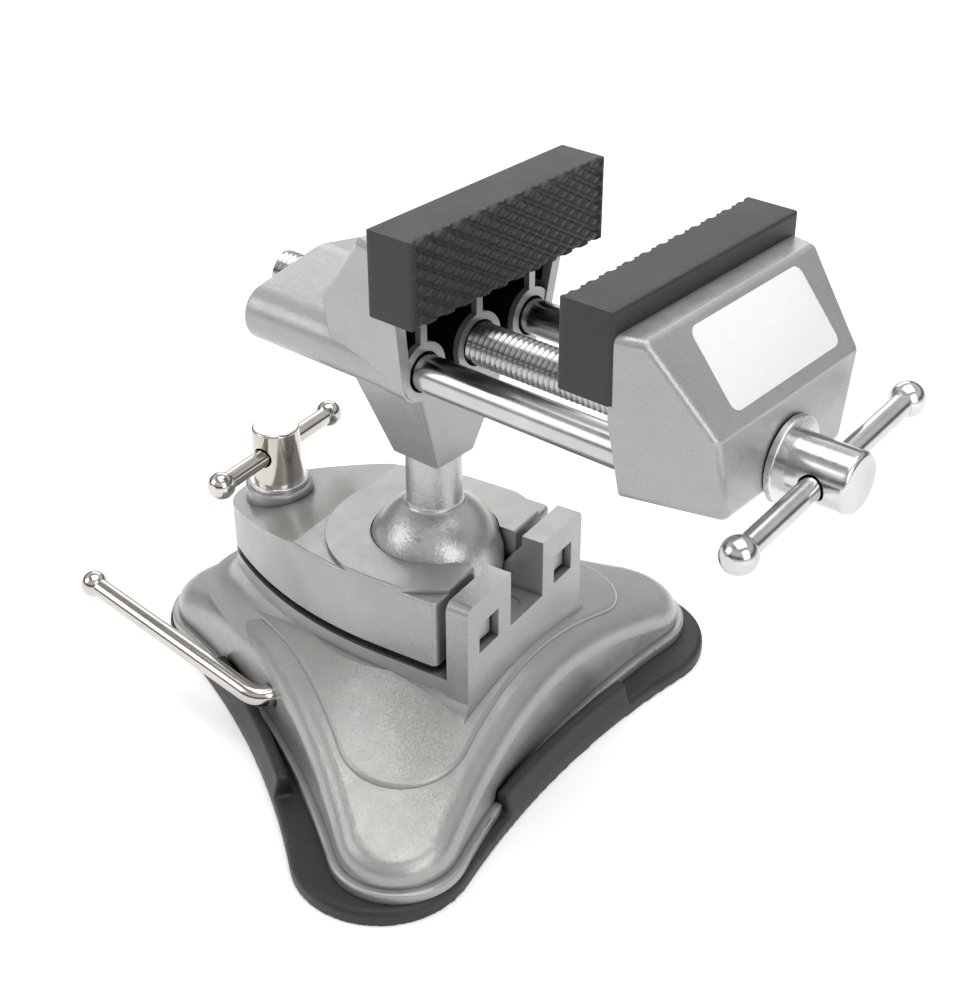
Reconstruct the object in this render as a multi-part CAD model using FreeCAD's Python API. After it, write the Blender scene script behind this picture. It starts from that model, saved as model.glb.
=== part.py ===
import FreeCAD, Part
import math
import os

V = FreeCAD.Vector

# Suction base vise: a ball-mounted bench vise on a three-lobed suction base.
# Frame: X is the clamping direction toward the moving jaw, Y the jaw width,
# Z up. The origin lies on the bench straight below the centre of the ball.

# Layout
base_yaw = 7.6
pad_yaw = 3.9
base_centre_x = -7.1
lobes = 3
lobe_pitch = 360 / lobes
cut_over = 2.0
run_gap = 0.3
slide_gap = 0.05
edge_round = 0.8

# Rubber suction pad
pad_tip_margin = 3.5
pad_waist_margin = 5.5
pad_round_margin = 6.2
pad_thick = 5.0
pad_edge_round = 1.6
pad_recess_depth = 2.0
pad_recess_gap = 2.0
tab_half_length = 31.0
tab_height = 6.8
tab_top_width = 3.3
tab_slope_width = 1.7
tab_round = 1.2

# Base casting, lobed body
rim_tip = 92.8
rim_waist = 49.7
rim_tip_round = 19.5
rim_thick = 3.0
rim_ledge = 2.3
shell_wall = 4.0
dome_tip_rise = 5.2
dome_foot_radius = 48.9
dome_foot_drop = 11.3
dome_flat_rise = 5.6
dome_round = 7.0
skirt_tip_inset = 25.6
skirt_waist_inset = 9.7
skirt_tip_round = 19.0
skirt_step = 1.3
roof_above_shaft = 10.8
roof_thick = 10.2

# Base casting, pedestal and lugs
pedestal_straight = 5.0
flare_height = 8.5
flare_width = 10.0
flare_height_shares = (0.0, 0.35, 0.65, 0.87, 1.0)
flare_width_shares = (0.0, 0.08, 0.27, 0.6, 1.0)
lug_ball_gap = 3.75
lug_thick = 7.0
lug_half_span = 30.7
lug_rise = 8.9
lug_corner_round = 3.0
stem_slot_gap = 0.7
stem_slot_drop = 9.1
window_centre_y = 20.0
window_width = 9.8
window_sill = 0.6
window_height = 9.3
cheek_thick = 1.8
cheek_foot_x = 12.5
cup_plate_gap = 1.65
cup_rim_drop = 11.0
ejector_mark_radius = 4.2
ejector_mark_depth = 0.4

# Clamp plate
plate_half_width = 30.6
plate_side_radius = 122.6
plate_rise = 8.0
plate_depth = 22.0
plate_front_gap = 3.5
plate_wall = 4.0
plate_roof = 3.5
plate_disc_margin = 0.7
plate_tail_drop = 1.2
plate_end_drop = 6.2
plate_corner_round = 2.0
plate_slot_gap = 3.0
plate_edge_round = 1.0
ball_boss_wall = 4.0
hook_side_gap = 0.6
hook_end_gap = 0.95
hook_grip = 4.8
cheek_relief_gap = 2.0
cheek_relief_height = 11.5

# Clamp screw
clamp_x = -56.8
clamp_seat_drop = 1.8
clamp_seat_margin = 1.2
clamp_seat_round = 1.0
clamp_washer_radius = 9.0
clamp_washer_thick = 1.5
clamp_hub_top_radius = 7.1
clamp_hub_foot_radius = 7.5
clamp_hub_height = 17.3
clamp_stud_radius = 4.0
clamp_stud_length = 45.0
clamp_boss_wall = 5.0
clamp_boss_foot = 14.0
clamp_plate_gap = 0.9
clamp_bar_radius = 2.75
clamp_bar_span = 51.4
clamp_bar_ball = 4.1
clamp_bar_rise = 9.5
bar_hole_gap = 0.45

# Ball and stem
ball_radius = 19.95
ball_above_pedestal = 17.0
stem_radius = 8.0
stem_length = 34.5
stem_root_round = 1.6
spigot_step = 2.0
spigot_length = 16.0

# Jaws, shared by both castings
jaw_width = 75.0
jaw_pad_thick = 15.0
jaw_pad_height = 22.7
jaw_pad_rise = 20.2
jaw_pad_round = 0.5
jaw_body_drop = 5.6
jaw_crown = 6.7
jaw_slope_length = 17.1
jaw_slope_drop = 20.8
jaw_rear_lean = 0.8
jaw_wall = 3.2
jaw_floor_thick = 3.2
jaw_rear_wall = 5.0
jaw_round = 2.0
jaw_opening = 42.8
fixed_pad_front_x = 28.2
fixed_floor_drop = 7.9
fixed_foot_round = 6.5
fixed_top_inset = 0.5
fixed_front_inset = 4.3
fixed_rear_inset = 7.1
fixed_foot_taper = 4.0
fixed_ledge = 5.2
fixed_ledge_lean = 2.0
moving_floor_drop = 6.8
moving_foot_round = 3.4
moving_front_inset = 0.5
moving_rear_inset = 7.1
moving_foot_taper = 6.0
moving_ledge = 1.0
rods_above_stem = 38.2
rod_spread = 21.7
rod_radius = 5.0
rod_tube_wall = 3.0
screw_tube_wall = 2.75
tube_front_set = 11.2
tube_mouth_gap = 0.6
tube_mouth_depth = 2.5
rib_thick = 2.4
barrel_rear_x = -41.5
barrel_mid_radius = 12.0
barrel_edge_round = 1.5
neck_foot_margin = 0.4
neck_top_x = 13.3
neck_top_y = 20.8
neck_top_drop = 5.4
neck_round = 1.2

# Lead screw and handle
screw_radius = 5.85
screw_rear_reach = 15.5
screw_tip_chamfer = 1.2
journal_step = 0.95
screw_hub_radius = 7.75
screw_hub_length = 17.2
hub_end_round = 1.4
screw_washer_radius = 11.0
screw_washer_thick = 1.8
screw_clip_band = 2.1
screw_clip_thick = 1.8
clip_groove_depth = 0.9
rod_rear_inset = 6.5
rod_socket_end = 3.0
handle_bar_radius = 3.0
handle_bar_span = 73.7
handle_bar_ball = 4.6
handle_tilt = 6.2
bar_neck_share = 0.6
ball_flat_share = 0.9

# Suction lever, cam and lifting yoke
shaft_height = 18.7
shaft_radius = 3.0
lever_corner_gap = 2.1
lever_arm_out = 27.6
lever_arm_across = 67.3
lever_arm_up_angle = 7.7
lever_bend_radius = 6.5
lever_ball_radius = 4.2
shaft_inner_end = 16.5
wall_boss_wall = 4.5
wall_boss_length = 13.0
pillar_wall = 3.5
pillar_thick = 6.0
pillar_set = 7.0
pillar_foot = 9.5
cam_wall = 0.8
cam_throw = 1.7
cam_thick = 8.0
yoke_gap = 0.7
yoke_side = 3.0
yoke_top = 2.2
yoke_foot_radius = 4.0
lift_plate_radius = 32.0
lift_plate_thick = 2.0
shaft_clip_radius = 5.0
shaft_clip_thick = 1.2

# Worked out from the sizes above: heights, stacked from the bench up
rim_bottom = pad_thick
rim_top = rim_bottom + rim_thick
cavity_roof_height = shaft_height + roof_above_shaft
pedestal_top = cavity_roof_height + roof_thick
pedestal_wall_foot = pedestal_top - pedestal_straight
dome_foot_height = pedestal_top - dome_foot_drop
dome_flat_height = dome_foot_height + dome_flat_rise
dome_rise = (dome_foot_height - rim_top - dome_tip_rise) / (rim_tip - dome_foot_radius)
ball_height = pedestal_top + ball_above_pedestal
cup_rim_height = ball_height - cup_rim_drop
stem_slot_floor = ball_height - stem_slot_drop
window_bottom = stem_slot_floor + window_sill
lug_top = ball_height + lug_rise
plate_top = ball_height + plate_rise
plate_bottom = plate_top - plate_depth
plate_low_top = plate_top - plate_end_drop
clamp_seat_top = plate_top - clamp_seat_drop
clamp_hub_foot = clamp_seat_top + clamp_washer_thick
clamp_bar_height = clamp_hub_foot + clamp_bar_rise
stem_top = ball_height + stem_length
rod_height = stem_top + rods_above_stem
neck_top = rod_height - neck_top_drop
jaw_pad_bottom = rod_height + jaw_pad_rise
jaw_pad_top = jaw_pad_bottom + jaw_pad_height
jaw_top = jaw_pad_top - jaw_body_drop

# Worked out: radii and widths of what fits together
seat_radius = ball_radius + run_gap
cup_outer_radius = seat_radius - cup_plate_gap
stem_slot_half = stem_radius + stem_slot_gap
plate_slot_half = stem_radius + plate_slot_gap
cheek_relief_half = stem_slot_half + cheek_thick + cheek_relief_gap
plate_disc_radius = plate_half_width + plate_disc_margin
hook_width = window_width - hook_side_gap * 2
hook_height = window_height - hook_end_gap * 2
clamp_seat_radius = clamp_washer_radius + clamp_seat_margin
clamp_boss_radius = clamp_stud_radius + clamp_boss_wall
spigot_radius = stem_radius - spigot_step
neck_foot_x = stem_radius + neck_foot_margin
rod_tube_radius = rod_radius + rod_tube_wall
screw_tube_radius = screw_radius + screw_tube_wall
journal_radius = screw_radius - journal_step
screw_clip_radius = journal_radius + screw_clip_band
pad_recess_radius = lift_plate_radius + pad_recess_gap
wall_boss_radius = shaft_radius + wall_boss_wall
pillar_width = (shaft_radius + pillar_wall) * 2
cam_radius = shaft_radius + cam_throw + cam_wall
jaw_half = jaw_width / 2
fixed_halves = (jaw_half - fixed_top_inset, jaw_half - fixed_front_inset, jaw_half - fixed_rear_inset)
moving_halves = (jaw_half, jaw_half - moving_front_inset, jaw_half - moving_rear_inset)

# Worked out: places along the housing and along the jaws
pad_tip = rim_tip + pad_tip_margin
pad_waist = rim_waist + pad_waist_margin
pad_tip_round = rim_tip_round + pad_round_margin
skirt_tip = rim_tip - skirt_tip_inset
skirt_waist = rim_waist - skirt_waist_inset
lever_corner = rim_waist + lever_corner_gap
lug_inner_x = seat_radius + lug_ball_gap
lug_outer_x = lug_inner_x + lug_thick
plate_front_x = lug_inner_x - plate_front_gap
hook_reach = plate_front_gap + hook_grip
fixed_back_x = fixed_pad_front_x - jaw_pad_thick
moving_front_x = fixed_pad_front_x + jaw_opening
moving_back_x = moving_front_x + jaw_pad_thick
jaw_rear_depth = jaw_crown + jaw_slope_length + jaw_rear_lean
jaw_rear_x = moving_back_x + jaw_rear_depth
hub_face_x = jaw_rear_x + screw_washer_thick
handle_x = hub_face_x + screw_hub_length / 2
screw_rear_x = barrel_rear_x - screw_rear_reach
rod_rear_x = barrel_rear_x + rod_rear_inset


def local(shape):
    """Turn a shape modelled along the housing axis into the vise's frame."""
    shape.rotate(V(0, 0, 0), V(0, 0, 1), base_yaw)
    return shape


def box(x0, x1, y0, y1, z0, z1):
    return Part.makeBox(x1 - x0, y1 - y0, z1 - z0, V(x0, y0, z0))


def rod_between(start, end, radius):
    line = end - start
    return Part.makeCylinder(radius, line.Length, start, line)


def prism(points, direction):
    wire = Part.makePolygon(points + [points[0]])
    return Part.Face(wire).extrude(direction)


def edges_where(shape, test):
    return [edge for edge in shape.Edges if test(edge)]


def rounded(shape, radius, test):
    return shape.makeFillet(radius, edges_where(shape, test))


def save(name, shape):
    shape = shape.removeSplitter()
    solids = shape.Solids
    result = solids[0] if len(solids) == 1 else Part.makeCompound(solids)
    print(name, len(solids), "solids, valid", result.isValid(), "volume", round(result.Volume, 1))
    result.exportStep(os.path.join("parts", name + ".step"))


# Lobed outlines shared by the pad, the rim, the dome and the skirt
def lobed_wire(tip, waist, tip_round, z):
    reach = tip - tip_round
    side = (waist**2 - reach * waist + reach**2 - tip_round**2) / (reach + 2 * tip_round - 2 * waist)
    far = waist + side

    def at(radius, degrees):
        angle = math.radians(degrees)
        return V(base_centre_x + radius * math.cos(angle), radius * math.sin(angle), z)

    def tangent(lobe_angle, waist_angle):
        lobe = at(reach, lobe_angle)
        return lobe + (at(far, waist_angle) - lobe) * (tip_round / (tip_round + side))

    edges = []
    for k in range(lobes):
        low = k * lobe_pitch
        mid = low + lobe_pitch / 2
        high = low + lobe_pitch
        start = tangent(mid - lobe_pitch, low)
        leave = tangent(mid, low)
        arrive = tangent(mid, high)
        edges.append(Part.Arc(start, at(waist, low), leave).toShape())
        edges.append(Part.Arc(leave, at(tip, mid), arrive).toShape())
    return Part.Wire(edges)


def lobed_prism(tip, waist, tip_round, z0, z1):
    return Part.Face(lobed_wire(tip, waist, tip_round, z0)).extrude(V(0, 0, z1 - z0))


def dome_cone(raised):
    """Cone that gives the lobes their fall from the pedestal to the tips."""
    flat = dome_flat_height + raised
    flat_radius = dome_foot_radius - (dome_flat_height - dome_foot_height) / dome_rise
    edge = flat - (rim_tip + cut_over - flat_radius) * dome_rise
    points = [
        V(base_centre_x, 0, 0),
        V(base_centre_x + rim_tip + cut_over, 0, 0),
        V(base_centre_x + rim_tip + cut_over, 0, edge),
        V(base_centre_x + flat_radius, 0, flat),
        V(base_centre_x, 0, flat),
    ]
    face = Part.Face(Part.makePolygon(points + [points[0]]))
    return face.revolve(V(base_centre_x, 0, 0), V(0, 0, 1), 360)


# Outline shared by the clamp plate and the pedestal below it
def plate_wire(grow, front_x, z):
    side = plate_side_radius + grow
    half = plate_half_width + grow
    centre_y = plate_half_width - plate_side_radius
    reach = math.hypot(clamp_x, centre_y)
    tail = side - reach
    join = V(clamp_x * side / reach, centre_y - centre_y * side / reach, z)
    middle_x = join.x / 2
    middle = V(middle_x, centre_y + math.sqrt(side**2 - middle_x**2), z)
    front = V(front_x, half, z)
    shoulder = V(0, half, z)

    def mirror(point):
        return V(point.x, -point.y, point.z)

    return Part.Wire([
        Part.LineSegment(front, shoulder).toShape(),
        Part.Arc(shoulder, middle, join).toShape(),
        Part.Arc(join, V(clamp_x - tail, 0, z), mirror(join)).toShape(),
        Part.Arc(mirror(join), mirror(middle), mirror(shoulder)).toShape(),
        Part.LineSegment(mirror(shoulder), mirror(front)).toShape(),
        Part.LineSegment(mirror(front), front).toShape(),
    ])


def plate_prism(grow, front_x, z0, z1):
    return Part.Face(plate_wire(grow, front_x, z0)).extrude(V(0, 0, z1 - z0))


# Direction of the cam shaft: inward through the waist on the lever side
shaft_angle = -lobe_pitch
shaft_out = V(math.cos(math.radians(shaft_angle)), math.sin(math.radians(shaft_angle)), 0)
shaft_across = V(-shaft_out.y, shaft_out.x, 0) * -1
base_centre = V(base_centre_x, 0, 0)


def on_shaft(along, across=0, up=0):
    return base_centre + shaft_out * along + shaft_across * across + V(0, 0, shaft_height + up)


def tab_solid(grow):
    """Grip tab on one waist of the rubber, swept along the waist's arc."""
    reach = pad_tip - pad_tip_round
    side = (pad_waist**2 - reach * pad_waist + reach**2 - pad_tip_round**2) / (
        reach + 2 * pad_tip_round - 2 * pad_waist)
    far = base_centre_x + pad_waist + side
    outer = far - side
    top = pad_thick + tab_height + grow
    inner = outer - tab_slope_width - tab_top_width - grow
    low = pad_thick - edge_round
    points = [
        V(outer + grow, 0, low),
        V(outer - tab_slope_width + grow, 0, top),
        V(inner, 0, top),
        V(inner, 0, low),
    ]
    half = math.degrees((tab_half_length + grow) / side)
    face = Part.Face(Part.makePolygon(points + [points[0]]))
    face.rotate(V(far, 0, 0), V(0, 0, 1), -half)
    tab = face.revolve(V(far, 0, 0), V(0, 0, 1), 2 * half)
    return tab


def tabs(grow):
    solids = []
    for k in range(lobes):
        tab = tab_solid(grow)
        tab.rotate(base_centre, V(0, 0, 1), k * lobe_pitch + pad_yaw - base_yaw)
        solids.append(tab)
    return solids


def suction_pad():
    pad = lobed_prism(pad_tip, pad_waist, pad_tip_round, 0, pad_thick)
    pad = rounded(pad, pad_edge_round, lambda e: min(v.Z for v in e.Vertexes) > pad_thick / 2)
    pad.rotate(base_centre, V(0, 0, 1), pad_yaw - base_yaw)
    for tab in tabs(0):
        top = pad_thick + tab_height
        tab = rounded(tab, tab_round, lambda e: min(v.Z for v in e.Vertexes) > top - edge_round)
        pad = pad.fuse(tab)
    recess_floor = pad_thick - pad_recess_depth
    recess = Part.makeCylinder(pad_recess_radius, pad_thick, base_centre + V(0, 0, recess_floor))
    return local(pad.cut(recess))


def on_dome_edge(edge):
    """True for the edges where a lobed wall meets the cone above it."""
    return (edge.BoundBox.ZMin > rim_top and edge.BoundBox.ZLength > edge_round / 2
            and edge.BoundBox.XLength + edge.BoundBox.YLength > dome_round)


def base_shell():
    """Outer form of the casting: rim, dome, contour skirt and pedestal."""
    rim = lobed_prism(rim_tip, rim_waist, rim_tip_round, rim_bottom, rim_top)
    rim = rounded(rim, edge_round, lambda e: min(v.Z for v in e.Vertexes) > rim_bottom + edge_round)
    body = lobed_prism(rim_tip - rim_ledge, rim_waist - rim_ledge, rim_tip_round - rim_ledge,
                       rim_bottom, pedestal_top)
    body = body.common(dome_cone(0))
    body = rounded(body, dome_round, on_dome_edge)
    skirt = lobed_prism(skirt_tip, skirt_waist, skirt_tip_round, rim_bottom, pedestal_top)
    skirt = skirt.common(dome_cone(skirt_step))
    skirt = rounded(skirt, skirt_step, on_dome_edge)
    pedestal = plate_prism(0, lug_outer_x, rim_top, pedestal_top)
    flare = Part.makeLoft([
        plate_wire(width * flare_width, lug_outer_x, pedestal_wall_foot - height * flare_height)
        for height, width in zip(flare_height_shares, flare_width_shares)
    ], True)
    lug = box(lug_inner_x, lug_outer_x, -lug_half_span, lug_half_span, rim_top, lug_top)
    lug = rounded(lug, lug_corner_round, lambda e: (
        e.BoundBox.ZLength < edge_round and e.BoundBox.YLength < edge_round
        and e.BoundBox.ZMin > pedestal_top))
    return rim.fuse([body, skirt, pedestal, flare, lug])


def base_cavity():
    inset = rim_ledge + shell_wall
    room = lobed_prism(rim_tip - inset, rim_waist - inset, rim_tip_round - inset,
                       0, cavity_roof_height)
    room = room.common(dome_cone(-shell_wall))
    clamp_boss = Part.makeCylinder(clamp_boss_radius, pedestal_top - clamp_boss_foot,
                                   V(clamp_x, 0, clamp_boss_foot))
    wall_boss = rod_between(on_shaft(rim_waist - inset - wall_boss_length),
                            on_shaft(rim_waist), wall_boss_radius)
    pillar = box(-pillar_set - pillar_thick, -pillar_set, -pillar_width / 2, pillar_width / 2,
                 pillar_foot, pedestal_top)
    pillar.rotate(V(0, 0, 0), V(0, 0, 1), shaft_angle)
    pillar.translate(base_centre)
    return room.cut([clamp_boss, wall_boss, pillar])


def base_casting():
    solid = base_shell()
    cup = Part.makeCylinder(cup_outer_radius, cup_rim_height - rim_top, V(0, 0, rim_top))
    solid = solid.fuse(cup)
    for side in (-1, 1):
        inner = side * stem_slot_half
        outer = side * (stem_slot_half + cheek_thick)
        cheek = prism([
            V(lug_outer_x, inner, lug_top - lug_corner_round),
            V(lug_inner_x, inner, lug_top - lug_corner_round),
            V(cheek_foot_x, inner, stem_slot_floor),
            V(cheek_foot_x, inner, rim_top),
            V(lug_outer_x, inner, rim_top),
        ], V(0, outer - inner, 0))
        solid = solid.fuse(cheek)
    floor = box(cheek_foot_x, lug_outer_x, -stem_slot_half, stem_slot_half, rim_top, stem_slot_floor)
    solid = solid.fuse(floor).cut(base_cavity())
    cuts = [
        Part.makeSphere(seat_radius, V(0, 0, ball_height)),
        box(0, lug_outer_x + cut_over, -stem_slot_half, stem_slot_half, stem_slot_floor,
            lug_top + cut_over),
        Part.makeCylinder(ejector_mark_radius, cut_over,
                          V(lug_inner_x, 0, stem_slot_floor - ejector_mark_depth)),
        Part.makeCylinder(clamp_stud_radius + slide_gap, pedestal_top, V(clamp_x, 0, 0)),
        rod_between(on_shaft(-pillar_set - pillar_thick - cut_over),
                    on_shaft(rim_waist + cut_over), shaft_radius + slide_gap),
    ]
    for side in (-1, 1):
        middle = side * window_centre_y
        cuts.append(box(lug_inner_x - cut_over, lug_outer_x + cut_over, middle - window_width / 2,
                        middle + window_width / 2, window_bottom, window_bottom + window_height))
    solid = solid.cut(cuts)
    return local(solid.cut(tabs(run_gap)))


def plate_body():
    """Clamp plate without its openings: a level disc, a falling tail and the screw's seat."""
    def on_top(edge):
        return edge.BoundBox.ZMin > plate_low_top - edge_round

    def on_corner(edge):
        return edge.BoundBox.ZLength > edge_round * 2 and edge.BoundBox.XMin > plate_front_x - edge_round

    end_x = clamp_x - plate_half_width
    start_top = plate_top - plate_tail_drop
    block = rounded(plate_prism(0, plate_front_x, plate_bottom, plate_top), plate_corner_round, on_corner)
    fall = prism([
        V(-plate_disc_radius, -plate_half_width * 2, start_top),
        V(end_x, -plate_half_width * 2, start_top - (plate_end_drop - plate_tail_drop)
          * (end_x + plate_disc_radius) / (clamp_x + plate_disc_radius)),
        V(end_x, -plate_half_width * 2, plate_top + cut_over),
        V(plate_front_x + cut_over, -plate_half_width * 2, plate_top + cut_over),
        V(plate_front_x + cut_over, -plate_half_width * 2, start_top),
    ], V(0, plate_half_width * 4, 0))
    tail = rounded(block.cut(fall), plate_edge_round, on_top)
    disc = rounded(block, plate_edge_round, on_top)
    disc = disc.common(Part.makeCylinder(plate_disc_radius, plate_depth, V(0, 0, plate_bottom)))
    seat = Part.makeCylinder(clamp_seat_radius, clamp_seat_top - plate_bottom,
                             V(clamp_x, 0, plate_bottom))
    seat = rounded(seat, clamp_seat_round, lambda e: e.BoundBox.ZMin > clamp_seat_top - edge_round)
    return tail.fuse([disc, seat])


def clamp_plate():
    plate = plate_body()
    pocket = plate_prism(-plate_wall, plate_front_x - plate_wall, plate_bottom - cut_over,
                         plate_low_top - plate_roof)
    boss = Part.makeCylinder(seat_radius + ball_boss_wall, plate_depth, V(0, 0, plate_bottom))
    tail_boss = Part.makeCylinder(clamp_boss_radius, plate_depth, V(clamp_x, 0, plate_bottom))
    rails = box(0, plate_front_x, -plate_slot_half - plate_wall, plate_slot_half + plate_wall,
                plate_bottom, plate_top)
    plate = plate.cut(pocket.cut([boss, tail_boss, rails]))
    for side in (-1, 1):
        middle = side * window_centre_y
        hook_low = window_bottom + (window_height - hook_height) / 2
        hook = box(plate_front_x - plate_wall, plate_front_x + hook_reach, middle - hook_width / 2,
                   middle + hook_width / 2, hook_low, hook_low + hook_height)
        plate = plate.fuse(rounded(hook, edge_round, lambda e: e.BoundBox.XMin > plate_front_x))
    plate = plate.cut([
        Part.makeCylinder(seat_radius, ball_height - plate_bottom + cut_over,
                          V(0, 0, plate_bottom - cut_over)),
        Part.makeSphere(seat_radius, V(0, 0, ball_height)),
        box(0, plate_front_x + cut_over, -plate_slot_half, plate_slot_half,
            plate_bottom - cut_over, plate_top + cut_over),
        box(0, plate_front_x + cut_over, -cheek_relief_half, cheek_relief_half,
            plate_bottom - cut_over, plate_top - cheek_relief_height),
        Part.makeCylinder(clamp_stud_radius + clamp_plate_gap, plate_depth + cut_over,
                          V(clamp_x, 0, plate_bottom - cut_over)),
    ])
    return local(plate)


def bar(centre, direction, span, radius, ball):
    """Sliding bar whose necked ends carry two press-fitted balls."""
    half = direction * (span / 2)
    neck = direction * (span / 2 - ball * bar_neck_share)
    tip = direction * (span / 2 + ball * bar_neck_share / 2)
    shaft = rod_between(centre - neck, centre + neck, radius)
    shaft = shaft.fuse(rod_between(centre - tip, centre + tip, radius * bar_neck_share))
    balls = []
    for side in (-1, 1):
        knob = Part.makeSphere(ball, centre + half * side)
        flat_start = centre + half * side + direction * (side * ball * ball_flat_share)
        knob = knob.cut(rod_between(flat_start, flat_start + direction * (side * ball), ball))
        balls.append(knob.cut(shaft))
    return shaft, balls[0], balls[1]


def clamp_screw_parts():
    axis = V(clamp_x, 0, 0)
    centre = V(clamp_x, 0, clamp_bar_height)
    washer = Part.makeCylinder(clamp_washer_radius, clamp_washer_thick, axis + V(0, 0, clamp_seat_top))
    washer = rounded(washer, edge_round / 2, lambda e: e.BoundBox.ZMin > clamp_seat_top + edge_round / 2)
    washer = washer.cut(Part.makeCylinder(clamp_stud_radius + slide_gap, cut_over * 2,
                                          axis + V(0, 0, clamp_seat_top - edge_round)))
    hub = Part.makeCone(clamp_hub_foot_radius, clamp_hub_top_radius, clamp_hub_height,
                        axis + V(0, 0, clamp_hub_foot))
    hub = rounded(hub, edge_round, lambda e: e.BoundBox.ZMin > clamp_hub_foot + edge_round)
    stud = Part.makeCylinder(clamp_stud_radius, clamp_stud_length + edge_round,
                             axis + V(0, 0, clamp_hub_foot - clamp_stud_length))
    hole = rod_between(centre - V(0, clamp_hub_foot_radius * 2, 0),
                       centre + V(0, clamp_hub_foot_radius * 2, 0), clamp_bar_radius + bar_hole_gap)
    screw = hub.fuse(stud).cut(hole)
    shaft, near, far = bar(centre, V(0, 1, 0), clamp_bar_span, clamp_bar_radius, clamp_bar_ball)
    return {
        "clamp_washer": local(washer), "clamp_screw": local(screw), "clamp_bar": local(shaft),
        "clamp_bar_ball_near": local(near), "clamp_bar_ball_far": local(far),
    }


def ball_stem():
    ball = Part.makeSphere(ball_radius, V(0, 0, ball_height))
    stem = Part.makeCylinder(stem_radius, stem_top - ball_height, V(0, 0, ball_height))
    solid = ball.fuse(stem)
    meet = ball_height + math.sqrt(ball_radius**2 - stem_radius**2)
    solid = rounded(solid, stem_root_round, lambda e: (
        abs(e.BoundBox.ZMin - meet) < edge_round and e.BoundBox.ZLength < edge_round))
    return solid.fuse(Part.makeCylinder(spigot_radius, spigot_length, V(0, 0, stem_top)))


# Jaw castings. Both share one body, built with its back to +X and mirrored for the fixed jaw.
def jaw_section(x, top_half, shoulder_half, taper, floor, inset):
    """Closed outline across the body, at a distance x behind the pad's back."""
    top = top_half - inset
    side = shoulder_half - inset
    foot = side - taper
    shoulder = jaw_top - jaw_slope_drop
    points = [
        V(x, -top, jaw_top), V(x, -side, shoulder), V(x, -foot, floor),
        V(x, foot, floor), V(x, side, shoulder), V(x, top, jaw_top),
    ]
    return Part.makePolygon(points + [points[0]])


def jaw_block(ledge, halves, taper, floor, foot_round):
    """Solid jaw body with its slope and lean, pad back at x = 0."""
    top_half, front_half, rear_half = halves
    front = jaw_section(-ledge, top_half, front_half, taper, floor, 0)
    rear = jaw_section(jaw_rear_depth, rear_half, rear_half, taper, floor, 0)
    block = Part.makeLoft([front, rear], True, True)
    slope_end = jaw_crown + jaw_slope_length
    slope = prism([
        V(jaw_crown, -jaw_width, jaw_top),
        V(slope_end, -jaw_width, jaw_top - jaw_slope_drop),
        V(jaw_rear_depth, -jaw_width, floor - cut_over),
        V(jaw_rear_depth + cut_over, -jaw_width, floor - cut_over),
        V(jaw_rear_depth + cut_over, -jaw_width, jaw_top + cut_over),
        V(jaw_crown, -jaw_width, jaw_top + cut_over),
    ], V(0, jaw_width * 2, 0))
    block = block.cut(slope)
    back = edge_round - ledge
    shoulder = jaw_top - jaw_slope_drop

    def on_foot(edge):
        return edge.BoundBox.ZMax < floor + edge_round and edge.BoundBox.XMax > back

    def on_body(edge):
        room = edge.BoundBox
        along_shoulder = room.ZLength < edge_round and room.XLength > jaw_slope_length
        return room.XMax > back and room.ZMax > shoulder - edge_round and not along_shoulder

    return rounded(rounded(block, foot_round, on_foot), jaw_round, on_body)


def jaw_hollow(ledge, halves, taper, floor):
    """Room inside the body, open toward the other jaw below the pad."""
    top_half, front_half, rear_half = halves
    start = jaw_section(-ledge - cut_over, top_half, front_half, taper, floor, jaw_wall)
    end = jaw_section(jaw_rear_depth - jaw_rear_wall, rear_half, rear_half, taper, floor, jaw_wall)
    room = Part.makeLoft([start, end], True, True)
    keep = box(-ledge - cut_over, jaw_rear_depth, -jaw_half, jaw_half,
               floor + jaw_floor_thick, jaw_pad_bottom - jaw_floor_thick)
    return room.common(keep)


def jaw_tubes(front, back):
    """Guide rod and screw tubes with the ribs that stand on them."""
    tubes = []
    for y, radius in ((-rod_spread, rod_tube_radius), (0, screw_tube_radius),
                      (rod_spread, rod_tube_radius)):
        tubes.append(rod_between(V(front, y, rod_height), V(back, y, rod_height), radius))
        tubes.append(box(front, back, y - rib_thick / 2, y + rib_thick / 2,
                         rod_height, jaw_pad_bottom - edge_round))
    return tubes


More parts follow.
